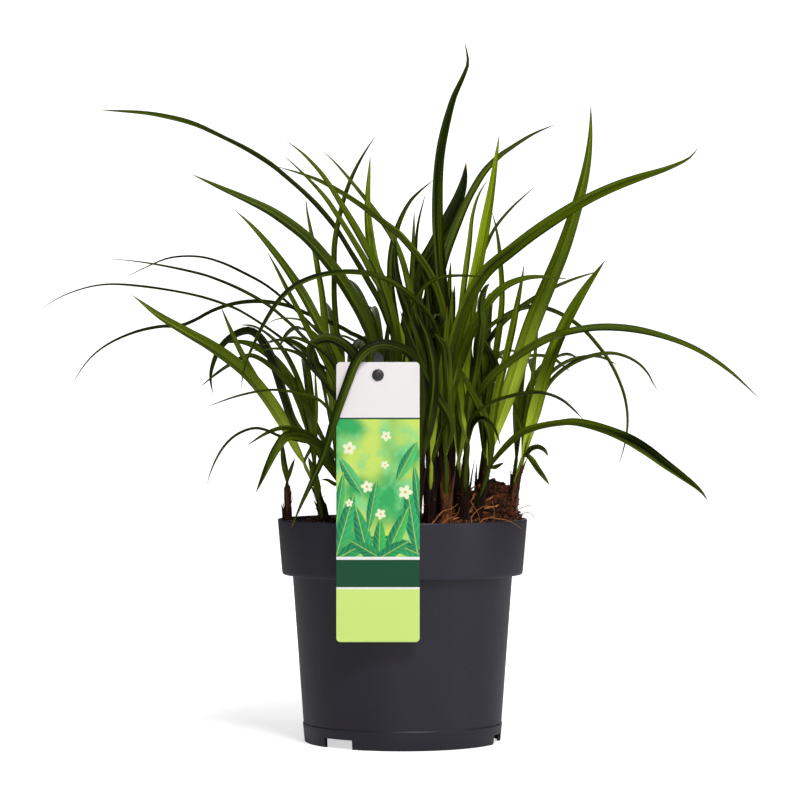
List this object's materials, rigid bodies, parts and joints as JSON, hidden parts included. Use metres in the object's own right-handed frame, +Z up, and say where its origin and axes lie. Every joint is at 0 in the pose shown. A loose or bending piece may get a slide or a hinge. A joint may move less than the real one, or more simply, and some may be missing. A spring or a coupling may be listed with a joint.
{
  "type": "potted sedge",
  "caption": "Clump of arching green sedge leaves growing in a round dark nursery pot, with a tall plant label hung on a stake.",
  "frame": {"origin": "on the floor, under the middle of the pot", "axes": "+Z up along the pot's axis; the label faces -Y; +X to the right as seen from the label's side"},
  "size_m": [0.5472, 0.3986, 0.5357],
  "materials": {
    "pot_plastic": "anthracite moulded plastic, soft sheen",
    "compost": "moist reddish-brown crumbly potting compost",
    "leaf_green": "ribbed living leaf, satin",
    "sheath_brown": "dry purple-brown leaf sheath, matte",
    "tag_card": "smooth printed plastic card",
    "stake_plastic": "black moulded plastic"
  },
  "bodies": {
    "root": {"compost": "compost", "pot": "pot_plastic", "sheath_01_left_edge": "sheath_brown", "sheath_02_left_low": "sheath_brown", "sheath_03_left_broad": "sheath_brown", "sheath_04_left_front": "sheath_brown", "sheath_05_left_inner": "sheath_brown", "sheath_06_tag_left": "sheath_brown", "sheath_07_left_tall": "sheath_brown", "sheath_08_left_reach": "sheath_brown", "sheath_09_crown_left": "sheath_brown", "sheath_10_tag_over": "sheath_brown", "sheath_11_crown_back": "sheath_brown", "sheath_12_centre": "sheath_brown", "sheath_13_red_base": "sheath_brown", "sheath_14_tallest": "sheath_brown", "sheath_15_bright": "sheath_brown", "sheath_16_dark_base": "sheath_brown", "sheath_17_right_back": "sheath_brown", "sheath_18_right_broad": "sheath_brown", "sheath_19_right_low": "sheath_brown", "sheath_20_right_edge": "sheath_brown", "sheath_21_core_front": "sheath_brown", "sheath_22_core_middle": "sheath_brown", "sheath_23_core_back": "sheath_brown", "sheath_24_back_left": "sheath_brown", "sheath_25_back_middle": "sheath_brown", "sheath_26_back_right": "sheath_brown", "sheath_27_far_left": "sheath_brown", "sheath_28_far_right": "sheath_brown", "shoot_01_left_edge": "leaf_green", "shoot_02_left_low": "leaf_green", "shoot_03_left_broad": "leaf_green", "shoot_04_left_front": "leaf_green", "shoot_05_left_inner": "leaf_green", "shoot_06_tag_left": "leaf_green", "shoot_07_left_tall": "leaf_green", "shoot_08_left_reach": "leaf_green", "shoot_09_crown_left": "leaf_green", "shoot_10_tag_over": "leaf_green", "shoot_11_crown_back": "leaf_green", "shoot_12_centre": "leaf_green", "shoot_13_red_base": "leaf_green", "shoot_14_tallest": "leaf_green", "shoot_15_bright": "leaf_green", "shoot_16_dark_base": "leaf_green", "shoot_17_right_back": "leaf_green", "shoot_18_right_broad": "leaf_green", "shoot_19_right_low": "leaf_green", "shoot_20_right_edge": "leaf_green", "shoot_21_core_front": "leaf_green", "shoot_22_core_middle": "leaf_green", "shoot_23_core_back": "leaf_green", "shoot_24_back_left": "leaf_green", "shoot_25_back_middle": "leaf_green", "shoot_26_back_right": "leaf_green", "shoot_27_far_left": "leaf_green", "shoot_28_far_right": "leaf_green", "tag": "tag_card", "tag_stake": "stake_plastic"}
  },
  "joints": []
}
